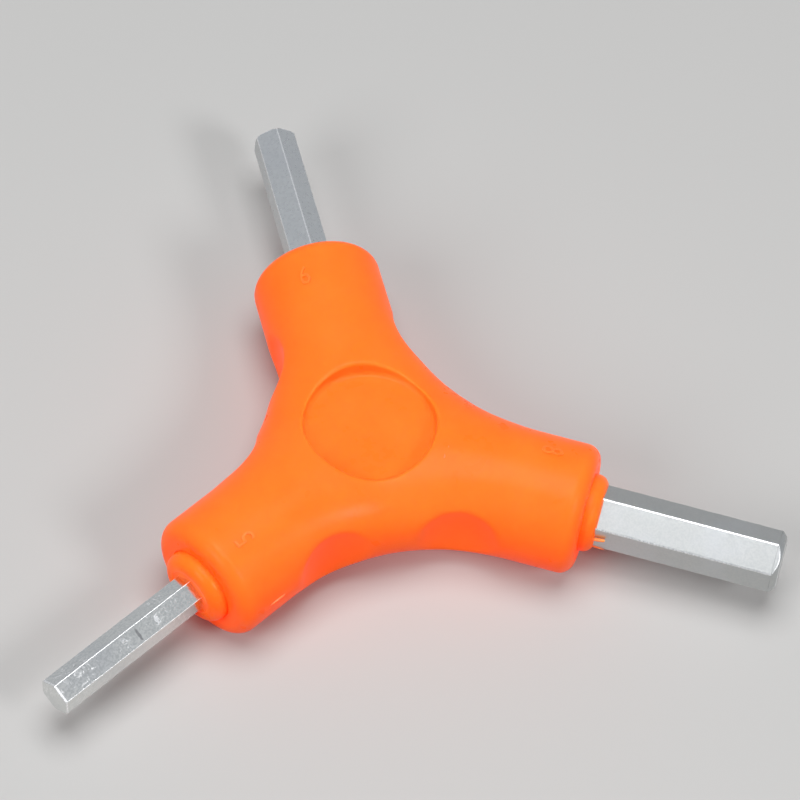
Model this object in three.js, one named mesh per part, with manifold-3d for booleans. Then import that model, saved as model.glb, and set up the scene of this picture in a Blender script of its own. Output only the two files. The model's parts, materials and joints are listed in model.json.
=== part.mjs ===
// A hexagon wrench with three arms: three steel bits held in a moulded core, under a moulded grip.
// Millimetres, +Z up. The three arms lie in one level plane. The origin is the middle of the flat
// floor of the round recess in the underside of the hub, and the 6 mm arm runs along +Y.

import * as THREE from 'three';
import { mergeVertices } from 'three/addons/utils/BufferGeometryUtils.js';
import Module from 'manifold-3d';

const wasm = await Module();
wasm.setup();

// Driving dimensions

const armCount = 3;
const armSpacing = 2 * Math.PI / armCount;
const halfSpacing = armSpacing / 2;
const firstArmAngle = Math.PI / 2;

const seatGap = 0.3; // clearance between a piece and the one it is moulded into
const cutOverrun = 2; // how far a cutting tool runs past the surface it cuts

const bitSizes = {
  hex_bit_6mm: { acrossFlats: 6, reach: 26, edgeRound: 0.32, tipChamfer: 0.35, turn: 4.5 },
  hex_bit_5mm: { acrossFlats: 5, reach: 27.8, edgeRound: 0.2, tipChamfer: 0.15, turn: 1 },
  hex_bit_8mm: { acrossFlats: 8, reach: 29.1, edgeRound: 0.45, tipChamfer: 0.95, turn: 1 },
};
const bitNames = Object.keys(bitSizes);
const hexSides = 6;
const shankStart = 9; // from the hub centre to the buried end of each bit
const grooveStart = 6; // from the buried end to the locking groove
const grooveLength = 3;
const grooveDepth = 0.6;

const coreWall = 0.8; // plastic over the corners of the largest bit
const coreHubRadius = 8;
const coreHubHeight = 9;
const collarLength = 2.1;
const collarEdgeRound = 0.95;
const hollowRadius = 4.3; // shallow hollow in the collar face, round the bit
const hollowDepth = 0.7;

const gripWall = 3.6;
const valleyRadius = 31.3; // concave outline arc between two arms
const straightLength = 7.4; // the round, straight end of each arm
const armEndRound = 2.2;
const floorWall = 0.9; // plastic between the recess floor and the core
const recessDepth = 2.2;
const recessRadius = 9.75;
const recessFloorRound = 0.5;
const scallopInset = 4.6; // scallop middle, inward of the straight end of the arm
const scallopDepth = 1.45;
const scallopRadius = 11.3;
const scallopHalfHeight = 15;
const scallopEdgeSoftness = 0.8; // width over which the dish blends into the flank

// A rib of the grip is a quarter superellipse: 2 is an ellipse, and more is fuller
const armFullness = 2;
const hubFullness = 2.4;

// Numbers of steps in the round shapes
const ribSteps = 24;
const endSteps = 4;
const straightSteps = 3;
const valleySteps = 13;
const turnedSides = 40;
const edgeSteps = 2;

// Places worked out from the driving dimensions

const cornerRadius = (acrossFlats) => acrossFlats / 2 / Math.cos(Math.PI / hexSides);
const largestFlats = Math.max(...bitNames.map((name) => bitSizes[name].acrossFlats));
const coreRadius = cornerRadius(largestFlats) + seatGap + coreWall;
const armRadius = coreRadius + seatGap + gripWall;
const valleyCentreDistance = (armRadius + valleyRadius) / Math.sin(halfSpacing);
const straightStart = valleyCentreDistance * Math.cos(halfSpacing);
const armEnd = straightStart + straightLength + armEndRound;
const recessFloor = coreRadius + seatGap + floorWall; // height above the level of the arm axes
const hubHalfHeight = recessFloor + recessDepth;

// Colours and finishes

const orangePlastic = new THREE.MeshStandardMaterial({ color: 0xfc792e, roughness: 0.45, metalness: 0 });
const satinSteel = new THREE.MeshStandardMaterial({ color: 0xb4b7b9, roughness: 0.38, metalness: 1 });

// Joining and cutting

function solid(geometry) {
  const bare = geometry.index ? geometry.toNonIndexed() : geometry.clone();
  bare.deleteAttribute('normal');
  bare.deleteAttribute('uv');
  const merged = mergeVertices(bare);
  return new wasm.Manifold(new wasm.Mesh({
    numProp: 3,
    vertProperties: merged.attributes.position.array,
    triVerts: merged.index.array,
  }));
}

function geometryOf(manifold) {
  const cut = manifold.getMesh();
  const geometry = new THREE.BufferGeometry();
  geometry.setAttribute('position', new THREE.BufferAttribute(cut.vertProperties, cut.numProp));
  geometry.setIndex(new THREE.BufferAttribute(cut.triVerts, 1));
  geometry.computeVertexNormals();
  return geometry;
}

function namedMesh(name, manifold, material) {
  const mesh = new THREE.Mesh(geometryOf(manifold), material);
  mesh.name = name;
  return mesh;
}

// The arms follow one another round the hub, and what lies in an arm is made along +X first
const armAngle = (arm) => firstArmAngle + arm * armSpacing;

// A turned shape whose axis is +X, from its profile of [radius, distance along the axis]
function turned(profile) {
  const outline = profile.map(([radius, along]) => new THREE.Vector2(radius, along));
  return new THREE.LatheGeometry(outline, turnedSides).rotateZ(-Math.PI / 2);
}

// Points of a quarter round, from one angle to the other, as [radius, distance along]
function roundEdge(radius, along, round, from, to) {
  const points = [];
  for (let step = 0; step <= endSteps; step += 1) {
    const angle = from + (to - from) * step / endSteps;
    points.push([radius + round * Math.cos(angle), along + round * Math.sin(angle)]);
  }
  return points;
}

// Grip: one flank of an arm is lofted over ribs between the crest line on top and the level outline

function endRibs() {
  const flatRadius = armRadius - armEndRound;
  const ribs = [{ crest: armEnd, side: [armEnd, 0], height: 0, fullness: armFullness }];
  for (const [radius, along] of roundEdge(flatRadius, armEnd - armEndRound, armEndRound, Math.PI / 2, 0)) {
    ribs.push({ crest: along, side: [along, radius], height: radius, fullness: armFullness });
  }
  for (let step = 1; step < straightSteps; step += 1) {
    const along = straightStart + straightLength * (1 - step / straightSteps);
    ribs.push({ crest: along, side: [along, armRadius], height: armRadius, fullness: armFullness });
  }
  return ribs;
}

function valleyRibs() {
  const ribs = [];
  const arcLength = valleyRadius * (Math.PI / 2 - halfSpacing);
  for (let step = 0; step <= valleySteps; step += 1) {
    const share = step / valleySteps;
    const angle = -Math.PI / 2 - (Math.PI / 2 - halfSpacing) * share;
    const side = [
      straightStart + valleyRadius * Math.cos(angle),
      valleyCentreDistance * Math.sin(halfSpacing) + valleyRadius * Math.sin(angle),
    ];
    // The crest line keeps pace with the outline at first, and stops square to the hub axis
    const crest = (1 - share) ** 2 * (straightStart * (1 + 2 * share) - arcLength * share);
    const rise = share * share * (3 - 2 * share);
    ribs.push({
      crest,
      side,
      height: armRadius + (hubHalfHeight - armRadius) * rise,
      fullness: armFullness + (hubFullness - armFullness) * rise,
      shared: step === valleySteps, // where two arms meet, both flanks have the same rib
    });
  }
  return ribs;
}

// Pushes a point of the flank out of the upright egg that dishes it, with a soft edge
function dished([x, y, z]) {
  const outlineY = valleyCentreDistance * Math.sin(halfSpacing)
    - Math.sqrt(valleyRadius ** 2 - scallopInset ** 2);
  const centre = [straightStart - scallopInset, outlineY + scallopRadius - scallopDepth];
  const offset = [x - centre[0], y - centre[1], z * scallopRadius / scallopHalfHeight];
  const distance = Math.hypot(...offset);
  const blend = Math.max(0, 1 - Math.abs(distance - scallopRadius) / scallopEdgeSoftness);
  const pushed = Math.max(distance, scallopRadius) + blend * blend * scallopEdgeSoftness / 4;
  const scale = pushed / distance;
  return [centre[0] + offset[0] * scale, centre[1] + offset[1] * scale, z * scale];
}

function ribPoint(rib, step) {
  const angle = Math.PI * step / ribSteps;
  const sine = Math.sin(angle);
  const cosine = Math.cos(angle);
  const power = rib.fullness;
  const scale = (Math.abs(sine) ** power + Math.abs(cosine) ** power) ** (-1 / power);
  const outward = step === ribSteps ? 0 : scale * sine;
  const point = [
    rib.crest + (rib.side[0] - rib.crest) * outward,
    rib.side[1] * outward,
    rib.height * scale * cosine,
  ];
  return rib.shared || outward === 0 ? point : dished(point);
}

function gripBody() {
  const ribs = [...endRibs(), ...valleyRibs()];
  const rows = ribs.map((rib) => {
    const row = [];
    for (let step = 0; step <= ribSteps; step += 1) row.push(ribPoint(rib, step));
    return row;
  });
  const positions = [];
  const addFlank = (arm, mirror) => {
    const angle = armAngle(arm);
    const put = ([x, y, z]) => positions.push(
      x * Math.cos(angle) - mirror * y * Math.sin(angle),
      x * Math.sin(angle) + mirror * y * Math.cos(angle),
      z,
    );
    const triangle = (a, b, c) => (mirror > 0 ? [a, c, b] : [a, b, c]).forEach(put);
    for (let row = 1; row < rows.length; row += 1) {
      for (let step = 1; step <= ribSteps; step += 1) {
        const [a, b] = [rows[row - 1][step - 1], rows[row][step - 1]];
        const [c, d] = [rows[row][step], rows[row - 1][step]];
        if (row > 1) triangle(a, c, d);
        triangle(a, b, c);
      }
    }
  };
  for (let arm = 0; arm < armCount; arm += 1) {
    addFlank(arm, 1);
    addFlank(arm, -1);
  }
  const geometry = new THREE.BufferGeometry();
  geometry.setAttribute('position', new THREE.Float32BufferAttribute(positions, 3));
  return geometry;
}

// The round recess in the top of the hub, or in its underside
function recessTool(side) {
  const profile = [
    [0, 0],
    ...roundEdge(recessRadius - recessFloorRound, recessFloorRound, recessFloorRound, -Math.PI / 2, 0),
    [recessRadius, recessDepth + cutOverrun],
    [0, recessDepth + cutOverrun],
  ].map(([radius, along]) => new THREE.Vector2(radius, along));
  const tool = new THREE.LatheGeometry(profile, turnedSides).rotateX(Math.PI / 2);
  tool.translate(0, 0, recessFloor);
  return side > 0 ? tool : tool.rotateX(Math.PI);
}

function makeGrip(coreSpace) {
  let grip = solid(gripBody());
  for (const side of [1, -1]) grip = grip.subtract(solid(recessTool(side)));
  return grip.subtract(coreSpace);
}

// Bits: a hexagonal bar with rounded corners, turned down at its tip and at its locking groove

function hexBar(acrossFlats, edgeRound, length) {
  const outline = new THREE.Shape();
  const roundCentre = cornerRadius(acrossFlats) - edgeRound / Math.cos(Math.PI / hexSides);
  for (let corner = 0; corner < hexSides; corner += 1) {
    const angle = corner * 2 * Math.PI / hexSides;
    for (let step = 0; step <= edgeSteps; step += 1) {
      const turn = angle + (step / edgeSteps - 0.5) * 2 * Math.PI / hexSides;
      const x = roundCentre * Math.cos(angle) + edgeRound * Math.cos(turn);
      const y = roundCentre * Math.sin(angle) + edgeRound * Math.sin(turn);
      if (corner + step === 0) outline.moveTo(x, y);
      else outline.lineTo(x, y);
    }
  }
  outline.closePath();
  const bar = new THREE.ExtrudeGeometry(outline, { depth: length, bevelEnabled: false });
  return bar.rotateY(Math.PI / 2); // the extrusion now runs along +X, with a corner straight up
}

// The bit itself, or with a margin the space that it needs in the core
function makeBit(name, margin) {
  const { acrossFlats, reach, edgeRound, tipChamfer, turn } = bitSizes[name];
  const radius = cornerRadius(acrossFlats) + margin;
  const start = shankStart - margin;
  const end = armEnd + reach + margin;
  const grooveRadius = acrossFlats / 2 - grooveDepth + margin;
  const grooveFrom = shankStart + grooveStart + margin;
  const grooveTo = shankStart + grooveStart + grooveLength - margin;
  const bar = hexBar(acrossFlats + 2 * margin, edgeRound + margin, end - start);
  bar.rotateX(THREE.MathUtils.degToRad(turn));
  bar.translate(start, 0, 0);
  const envelope = turned([
    [0, start - cutOverrun],
    [radius + cutOverrun, start - cutOverrun],
    [radius + cutOverrun, grooveFrom],
    [grooveRadius, grooveFrom],
    [grooveRadius, grooveTo],
    [radius + cutOverrun, grooveTo],
    [radius + cutOverrun, end - tipChamfer - cutOverrun],
    [radius - tipChamfer, end],
    [0, end],
  ]);
  return solid(bar).intersect(solid(envelope));
}

// Core: three round arms on a flat round hub, with a rounded collar outside each end of the grip

function coreArm(arm, margin) {
  const radius = coreRadius + margin;
  const tip = armEnd + collarLength + margin;
  const hollowStart = tip - hollowDepth;
  return turned([
    [0, 0],
    [radius, 0],
    ...roundEdge(radius - collarEdgeRound, tip - collarEdgeRound, collarEdgeRound, 0, Math.PI / 2),
    [hollowRadius, hollowStart],
    [0, hollowStart],
  ]).rotateZ(armAngle(arm));
}

function coreOutside(margin) {
  const hub = new THREE.CylinderGeometry(
    coreHubRadius + margin, coreHubRadius + margin, coreHubHeight + 2 * margin, turnedSides,
  ).rotateX(Math.PI / 2);
  let core = solid(hub);
  for (let arm = 0; arm < armCount; arm += 1) core = core.add(solid(coreArm(arm, margin)));
  return core;
}

// The space in the grip runs straight out of the arm ends
function coreSpace() {
  let space = coreOutside(seatGap);
  for (let arm = 0; arm < armCount; arm += 1) {
    const mouth = turned([
      [0, armEnd - armEndRound],
      [coreRadius + seatGap, armEnd - armEndRound],
      [coreRadius + seatGap, armEnd + cutOverrun],
      [0, armEnd + cutOverrun],
    ]);
    space = space.add(solid(mouth.rotateZ(armAngle(arm))));
  }
  return space;
}

function makeCore() {
  let core = coreOutside(0);
  bitNames.forEach((name, arm) => {
    const bitSpace = geometryOf(makeBit(name, seatGap)).rotateZ(armAngle(arm));
    core = core.subtract(solid(bitSpace));
  });
  return core;
}

// The whole wrench, lifted so that the recess floor in its underside is at the origin

const wrench = new THREE.Group();
wrench.position.z = recessFloor;
wrench.add(namedMesh('grip_shell', makeGrip(coreSpace()), orangePlastic));
wrench.add(namedMesh('handle_core', makeCore(), orangePlastic));
bitNames.forEach((name, arm) => {
  const bit = namedMesh(name, makeBit(name, 0), satinSteel);
  bit.rotation.z = armAngle(arm);
  wrench.add(bit);
});

export default wrench;
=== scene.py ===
import json
import math

import bmesh
import bpy
import numpy as np
from mathutils import Matrix, Vector


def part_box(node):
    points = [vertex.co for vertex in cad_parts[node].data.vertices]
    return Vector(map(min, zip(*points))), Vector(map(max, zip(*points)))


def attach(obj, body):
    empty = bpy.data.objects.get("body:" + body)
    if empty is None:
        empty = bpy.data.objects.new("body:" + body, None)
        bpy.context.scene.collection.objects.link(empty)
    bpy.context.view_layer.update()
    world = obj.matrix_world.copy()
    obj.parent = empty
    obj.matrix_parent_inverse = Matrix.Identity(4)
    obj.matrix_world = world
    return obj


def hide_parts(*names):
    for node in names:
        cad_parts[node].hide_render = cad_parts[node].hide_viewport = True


# Hexagon wrench with three arms: a moulded orange handle and three steel bits.
# Lengths here are millimetres. The finished pieces are in metres, +Z up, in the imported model's frame.

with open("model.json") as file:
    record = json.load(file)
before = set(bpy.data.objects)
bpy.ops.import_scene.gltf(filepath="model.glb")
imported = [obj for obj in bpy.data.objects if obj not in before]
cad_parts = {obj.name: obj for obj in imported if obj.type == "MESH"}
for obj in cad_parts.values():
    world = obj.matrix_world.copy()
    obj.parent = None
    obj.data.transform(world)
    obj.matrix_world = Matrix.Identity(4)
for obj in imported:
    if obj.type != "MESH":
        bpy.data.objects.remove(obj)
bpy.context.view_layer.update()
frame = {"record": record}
mm = 0.001

# What the frame fixes: the level of the arms, their reach and the places of the bits
mounts = {mount["name"]: Vector(mount["pos_m"]) / mm for mount in frame["record"]["mounts"]}
gripLow, gripHigh = (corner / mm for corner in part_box("grip_shell"))
coreLow, coreHigh = (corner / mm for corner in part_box("handle_core"))
levelZ = (gripLow.z + gripHigh.z) / 2  # height of the arms' axes
armRadius = (gripHigh.z - gripLow.z) / 2
armEnd = gripHigh.y
coreRadius = (coreHigh.z - coreLow.z) / 2
collarEnd = coreHigh.y
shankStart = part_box("hex_bit_6mm")[0].y / mm
recessFloor = mounts["hub_top"].z - levelZ
armCount = 3
halfSpacing = math.pi / armCount
print("frame: arms", round(levelZ, 3), "mm up, arm radius", round(armRadius, 3), "mm")


# Small helpers for node trees

def fillInputs(tree, node, inputs):
    for key, value in inputs.items():
        if isinstance(value, bpy.types.NodeSocket):
            tree.links.new(value, node.inputs[key])
        else:
            node.inputs[key].default_value = value


def addNode(tree, kind, inputs=None, **settings):
    made = tree.nodes.new(kind)
    for key, value in settings.items():
        setattr(made, key, value)
    fillInputs(tree, made, inputs or {})
    return made


def addMath(tree, operation, first, second=0.0, clamp=False):
    return addNode(tree, "ShaderNodeMath", {0: first, 1: second}, operation=operation,
                   use_clamp=clamp).outputs[0]


def plus(tree, first, second):
    return addMath(tree, "ADD", first, second)


def minus(tree, first, second):
    return addMath(tree, "SUBTRACT", first, second)


def times(tree, first, second):
    return addMath(tree, "MULTIPLY", first, second)


def over(tree, first, second):
    return addMath(tree, "DIVIDE", first, second)


def vectorMath(tree, operation, first, second=(0, 0, 0)):
    return addNode(tree, "ShaderNodeVectorMath", {0: first, 1: second}, operation=operation).outputs


def vectorOf(tree, x=0.0, y=0.0, z=0.0):
    return addNode(tree, "ShaderNodeCombineXYZ", {"X": x, "Y": y, "Z": z}).outputs[0]


def sidesOf(tree, vector):
    return addNode(tree, "ShaderNodeSeparateXYZ", {0: vector}).outputs


def turnVector(tree, vector, angle, kind="Z_AXIS"):
    return addNode(tree, "ShaderNodeVectorRotate", {"Vector": vector, "Angle": angle},
                   rotation_type=kind).outputs[0]


def mapRange(tree, value, fromMin, fromMax, toMin=0.0, toMax=1.0):
    inputs = {"Value": value, "From Min": fromMin, "From Max": fromMax, "To Min": toMin, "To Max": toMax}
    made = addNode(tree, "ShaderNodeMapRange", inputs, interpolation_type="SMOOTHSTEP")
    return made.outputs["Result"]


def mixColour(tree, factor, first, second):
    return addNode(tree, "ShaderNodeMix", {0: factor, 6: first, 7: second}, data_type="RGBA").outputs[2]


def noiseOf(tree, vector, scale, detail=2.0, roughness=0.5, distortion=0.0):
    return addNode(tree, "ShaderNodeTexNoise", {
        "Vector": vector, "Scale": scale, "Detail": detail, "Roughness": roughness,
        "Distortion": distortion}).outputs["Fac"]


socketKinds = {float: "NodeSocketFloat", tuple: "NodeSocketVector", str: "NodeSocketString",
               type(None): "NodeSocketMaterial"}


def newGroup(name, kind, inputs, outputs):
    # The kind of an input follows from its first value, and None stands for a material
    group = bpy.data.node_groups.new(name, kind)
    for key, value in inputs.items():
        socket = group.interface.new_socket(name=key, in_out="INPUT",
                                            socket_type=socketKinds[type(value)])
        if value is not None:
            socket.default_value = value
    outputKind = "NodeSocketFloat" if kind == "ShaderNodeTree" else "NodeSocketGeometry"
    for key in outputs:
        group.interface.new_socket(name=key, in_out="OUTPUT", socket_type=outputKind)
    return group, group.nodes.new("NodeGroupInput").outputs, group.nodes.new("NodeGroupOutput").inputs


def useGroup(tree, group, place, inputs):
    return addNode(tree, "ShaderNodeGroup", {"Vector": place, **inputs}, node_tree=group).outputs


# Effects that more than one finish uses. Their pattern sizes are in repeats per metre.

def mouldedSkinGroup():
    tree, given, made = newGroup("moulded skin", "ShaderNodeTree", {
        "Vector": (0, 0, 0), "Grain": 2600.0, "Grain Depth": 0.2, "Flow": 90.0,
    }, ["Height", "Gloss", "Flow"])
    coarseness, fineShare, flowShare = 0.21, 0.45, 0.6
    fine = noiseOf(tree, given["Vector"], given["Grain"], detail=3.0, roughness=0.6)
    coarse = noiseOf(tree, given["Vector"], times(tree, given["Grain"], coarseness))
    flow = noiseOf(tree, given["Vector"], given["Flow"], detail=3.0, roughness=0.55, distortion=0.4)
    grain = plus(tree, times(tree, fine, fineShare), times(tree, coarse, 1 - fineShare))
    height = times(tree, grain, given["Grain Depth"])
    gloss = plus(tree, times(tree, flow, flowShare), times(tree, coarse, 1 - flowShare))
    for key, value in {"Height": height, "Gloss": gloss, "Flow": flow}.items():
        tree.links.new(value, made[key])
    return tree


def speckGroup():
    tree, given, made = newGroup("specks", "ShaderNodeTree", {
        "Vector": (0, 0, 0), "Scale": 300.0, "Size": 0.1, "Share": 0.1}, ["Mask"])
    cell = addNode(tree, "ShaderNodeTexVoronoi", {"Vector": given["Vector"], "Scale": given["Scale"]})
    picked = addNode(tree, "ShaderNodeSeparateColor", {"Color": cell.outputs["Color"]})
    chosen = addMath(tree, "LESS_THAN", picked.outputs[0], given["Share"])
    smallest, core = 0.25, 0.55
    radius = times(tree, given["Size"], plus(tree, picked.outputs[1], smallest))
    inside = mapRange(tree, over(tree, cell.outputs["Distance"], radius), 1.0, core)
    tree.links.new(times(tree, inside, chosen), made["Mask"])
    return tree


def scratchGroup():
    tree, given, made = newGroup("scratches", "ShaderNodeTree", {
        "Vector": (0, 0, 0), "Angle": 0.0, "Scale": 200.0, "Width": 0.02, "Share": 0.4}, ["Mask"])
    # A line runs where stretched noise passes its middle value, and only inside patches of other noise
    stretched, middle, patchScale, patchCore = (0.16, 1, 1), 0.5, 0.9, 0.8
    turned = turnVector(tree, given["Vector"], given["Angle"])
    slim = vectorMath(tree, "MULTIPLY", turned, stretched)[0]
    line = noiseOf(tree, slim, given["Scale"], detail=1.0, roughness=0.4, distortion=0.6)
    off = addMath(tree, "ABSOLUTE", minus(tree, line, middle))
    drawn = mapRange(tree, over(tree, off, given["Width"]), 1.0, 0.2)
    patch = noiseOf(tree, given["Vector"], times(tree, given["Scale"], patchScale), detail=1.0)
    patchEdge = minus(tree, 0.75, times(tree, given["Share"], 0.4))
    tree.links.new(times(tree, drawn, mapRange(tree, patch, patchEdge, patchCore)), made["Mask"])
    return tree


def ragged(tree, distance, given, scale):
    # Noise added to a distance, so that a mask drawn from it gets a ragged border
    wander = minus(tree, noiseOf(tree, given["Vector"], scale, detail=3.0), 0.5)
    return plus(tree, distance, times(tree, wander, given["Raggedness"]))


def barEdgeGroup():
    # Bright wear and painted highlight on the long edges of a hexagonal bar that runs along X: 1 on the
    # edge, 0 on the flat
    tree, given, made = newGroup("bar edge", "ShaderNodeTree", {
        "Vector": (0, 0, 0), "Flat": 0.003, "Corner": 0.0034, "Width": 0.16, "Raggedness": 0.1}, ["Mask"])
    across = vectorMath(tree, "MULTIPLY", given["Vector"], (0, 1, 1))[0]
    radius = vectorMath(tree, "LENGTH", across)["Value"]
    share = over(tree, minus(tree, radius, given["Flat"]), minus(tree, given["Corner"], given["Flat"]))
    inner = minus(tree, 1.0, given["Width"])
    tree.links.new(mapRange(tree, ragged(tree, share, given, scale=900.0), inner, 1.0), made["Mask"])
    return tree


def smudgeGroup():
    # One soft ragged mark round a given place
    tree, given, made = newGroup("smudge", "ShaderNodeTree", {
        "Vector": (0, 0, 0), "Centre": (0, 0, 0), "Reach": (1, 1, 1), "Raggedness": 0.8}, ["Mask"])
    core = 0.35
    offset = vectorMath(tree, "SUBTRACT", given["Vector"], given["Centre"])[0]
    distance = vectorMath(tree, "LENGTH", vectorMath(tree, "DIVIDE", offset, given["Reach"])[0])["Value"]
    tree.links.new(mapRange(tree, ragged(tree, distance, given, scale=2500.0), 1.0, core), made["Mask"])
    return tree


mouldedSkin = mouldedSkinGroup()
specks = speckGroup()
scratches = scratchGroup()
barEdge = barEdgeGroup()
smudge = smudgeGroup()
print("shared effects: built")


# Finishes

def newMaterial(name):
    material = bpy.data.materials.new(name)
    material.use_nodes = True
    return material, material.node_tree, material.node_tree.nodes["Principled BSDF"]


def objectPlace(tree):
    return addNode(tree, "ShaderNodeTexCoord").outputs["Object"]


def bumpOf(tree, height, values):
    return addNode(tree, "ShaderNodeBump", {"Height": height, "Strength": values["bump"],
                                            "Distance": values["bumpDepth"]}).outputs["Normal"]


def orangePlastic(name, values):
    material, tree, shader = newMaterial(name)
    place = objectPlace(tree)
    skin = useGroup(tree, mouldedSkin, place, {
        "Grain": values["grain"], "Grain Depth": values["grainDepth"], "Flow": values["flow"]})
    dust = useGroup(tree, specks, place, {"Scale": values["dustScale"], "Size": values["dustSize"],
                                          "Share": values["dustShare"]})["Mask"]
    scuff = useGroup(tree, scratches, place, {
        "Angle": values["scuffAngle"], "Scale": values["scuffScale"], "Width": values["scuffWidth"],
        "Share": values["scuffShare"]})["Mask"]
    tone = mapRange(tree, skin["Flow"], 0.25, 0.75)
    colour = mixColour(tree, tone, values["deepColour"], values["lightColour"])
    colour = mixColour(tree, times(tree, dust, values["dustTint"]), colour, values["dustColour"])
    colour = mixColour(tree, times(tree, scuff, values["scuffTint"]), colour, values["scuffColour"])
    middle, spread = values["roughness"], values["roughSpread"]
    rough = mapRange(tree, skin["Gloss"], 0.3, 0.7, middle - spread, middle + spread)
    height = minus(tree, skin["Height"], times(tree, scuff, values["scuffDepth"]))
    # The even red emission is a painted glow: it brightens the shaded sides as light would. The
    # subsurface scattering is the plastic's own.
    fillInputs(tree, shader, {
        "Base Color": colour, "Roughness": plus(tree, rough, times(tree, scuff, values["scuffRough"])),
        "Normal": bumpOf(tree, height, values), "IOR": 1.46, "Specular IOR Level": values["shine"],
        "Subsurface Weight": values["glow"], "Subsurface Radius": values["glowRadius"],
        "Subsurface Scale": 1.0, "Emission Color": values["paintedGlowColour"],
        "Emission Strength": values["paintedGlow"],
    })
    return material


def barMark(tree, along, values, name):
    centre, reach = (Vector(values[name + end]) * mm for end in ("Place", "Reach"))
    return useGroup(tree, smudge, along, {"Centre": centre, "Reach": reach})["Mask"]


def satinSteel(name, values, angle):
    material, tree, shader = newMaterial(name)
    # The bar's own frame: X along the bar from the hub, with the same side up
    level = addNode(tree, "ShaderNodeMapping", {"Vector": objectPlace(tree),
                                                "Location": (0, 0, -levelZ * mm)}).outputs[0]
    along = turnVector(tree, turnVector(tree, level, -angle), -math.radians(values["turn"]), "X_AXIS")
    drawn = vectorMath(tree, "MULTIPLY", along, (values["lineStretch"], 1, 1))[0]
    lines = noiseOf(tree, drawn, values["lineScale"], detail=3.0, roughness=0.6)
    mottle = noiseOf(tree, along, values["mottleScale"])
    cloud = noiseOf(tree, along, values["cloudScale"])
    fleck = useGroup(tree, specks, along, {"Scale": values["fleckScale"], "Size": values["fleckSize"],
                                           "Share": values["fleckShare"]})["Mask"]
    pit = useGroup(tree, specks, along, {"Scale": values["pitScale"], "Size": values["fleckSize"],
                                         "Share": values["pitShare"]})["Mask"]
    # Light flakes where the bar was scraped, inside soft patches of noise and round one given place
    flaky = noiseOf(tree, along, values["flakeScale"], detail=3.0, roughness=0.7, distortion=1.2)
    patchEdge, patchSoftness = 0.68 - values["flakeShare"] * 0.3, 0.1
    patch = noiseOf(tree, along, values["patchScale"], detail=1.0)
    patch = mapRange(tree, patch, patchEdge, patchEdge + patchSoftness)
    flakeArea = addMath(tree, "MAXIMUM", patch, barMark(tree, along, values, "flake"))
    flake = times(tree, mapRange(tree, flaky, 0.54, 0.64), flakeArea)
    scratch = useGroup(tree, scratches, along, {
        "Angle": values["scratchAngle"], "Scale": values["scratchScale"], "Width": values["scratchWidth"],
        "Share": values["scratchShare"]})["Mask"]
    # Rounding takes about this share of its radius off a hexagon's corner
    cornerLoss = 0.15
    flat = values["acrossFlats"] / 2 * mm
    corner = flat / math.cos(math.pi / 6) - values["edgeRound"] * cornerLoss * mm
    longEdge = useGroup(tree, barEdge, along, {
        "Flat": flat, "Corner": corner, "Width": values["edgeWidth"],
        "Raggedness": values["edgeRag"]})["Mask"]
    # The end edge gets the same bright wear and painted highlight as the long ones, and the end face
    # behind it doesn't
    tip, endBand = mounts[values["mount"]].xy.length * mm, values["endWidth"] * mm
    reach = sidesOf(tree, along)["X"]
    endEdge = times(tree, mapRange(tree, reach, tip - endBand, tip - endBand * 0.7),
                    mapRange(tree, reach, tip - endBand * 0.03, tip - endBand * 0.15))
    edge = addMath(tree, "MAXIMUM", longEdge, endEdge)
    tone = mapRange(tree, mottle, 0.35, 0.65)
    colour = mixColour(tree, tone, values["deepColour"], values["lightColour"])
    layers = [
        ("cloudColour", mapRange(tree, cloud, 0.4, 0.75, 0.0, values["cloudTint"])),
        ("brightColour", times(tree, fleck, values["fleckTint"])),
        ("brightColour", times(tree, flake, values["flakeTint"])),
        ("pitColour", times(tree, pit, values["pitTint"])),
        ("pitColour", times(tree, scratch, values["scratchTint"])),
        ("pitColour", times(tree, barMark(tree, along, values, "mark"), values["markTint"])),
        # The bright colour on the edges is partly wear and partly a painted highlight
        ("brightColour", edge),
    ]
    for layer, mask in layers:
        colour = mixColour(tree, mask, colour, values[layer])
    middle, spread = values["roughness"], values["roughSpread"]
    rough = mapRange(tree, mottle, 0.3, 0.7, middle - spread, middle + spread)
    rough = minus(tree, rough, times(tree, edge, values["edgeShine"]))
    rough = plus(tree, rough, times(tree, flake, values["flakeRough"]))
    height = times(tree, lines, values["lineDepth"])
    height = plus(tree, height, times(tree, mottle, values["mottleDepth"]))
    height = minus(tree, height, times(tree, plus(tree, pit, scratch), values["pitDepth"]))
    fillInputs(tree, shader, {"Base Color": colour, "Metallic": 1.0, "Roughness": rough,
                              "Normal": bumpOf(tree, height, values)})
    return material


# Mesh helpers. A profile turned about +X, or a grid of points, becomes a closed mesh.

def meshOf(name, points, faces, weld=0.0):
    mesh = bpy.data.meshes.new(name)
    mesh.from_pydata(np.asarray(points, float).reshape(-1, 3).tolist(), [], faces)
    made = bmesh.new()
    made.from_mesh(mesh)
    if weld:
        bmesh.ops.remove_doubles(made, verts=made.verts, dist=weld)
        bmesh.ops.dissolve_degenerate(made, edges=made.edges, dist=weld)
    bmesh.ops.recalc_face_normals(made, faces=made.faces)
    made.to_mesh(mesh)
    made.free()
    return mesh


def turnedMesh(name, profile, sides):
    radii, along = (np.array(column, float) for column in zip(*profile))
    angles = np.arange(sides) * 2 * math.pi / sides
    ring = np.stack([np.broadcast_to(along[:, None], (len(along), sides)),
                     radii[:, None] * np.cos(angles), radii[:, None] * np.sin(angles)], -1)
    faces = []
    for row in range(1, len(along)):
        for side in range(sides):
            after = (side + 1) % sides
            faces.append([(row - 1) * sides + side, (row - 1) * sides + after, row * sides + after,
                          row * sides + side])
    return meshOf(name, ring, faces, weld=1e-5)


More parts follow.
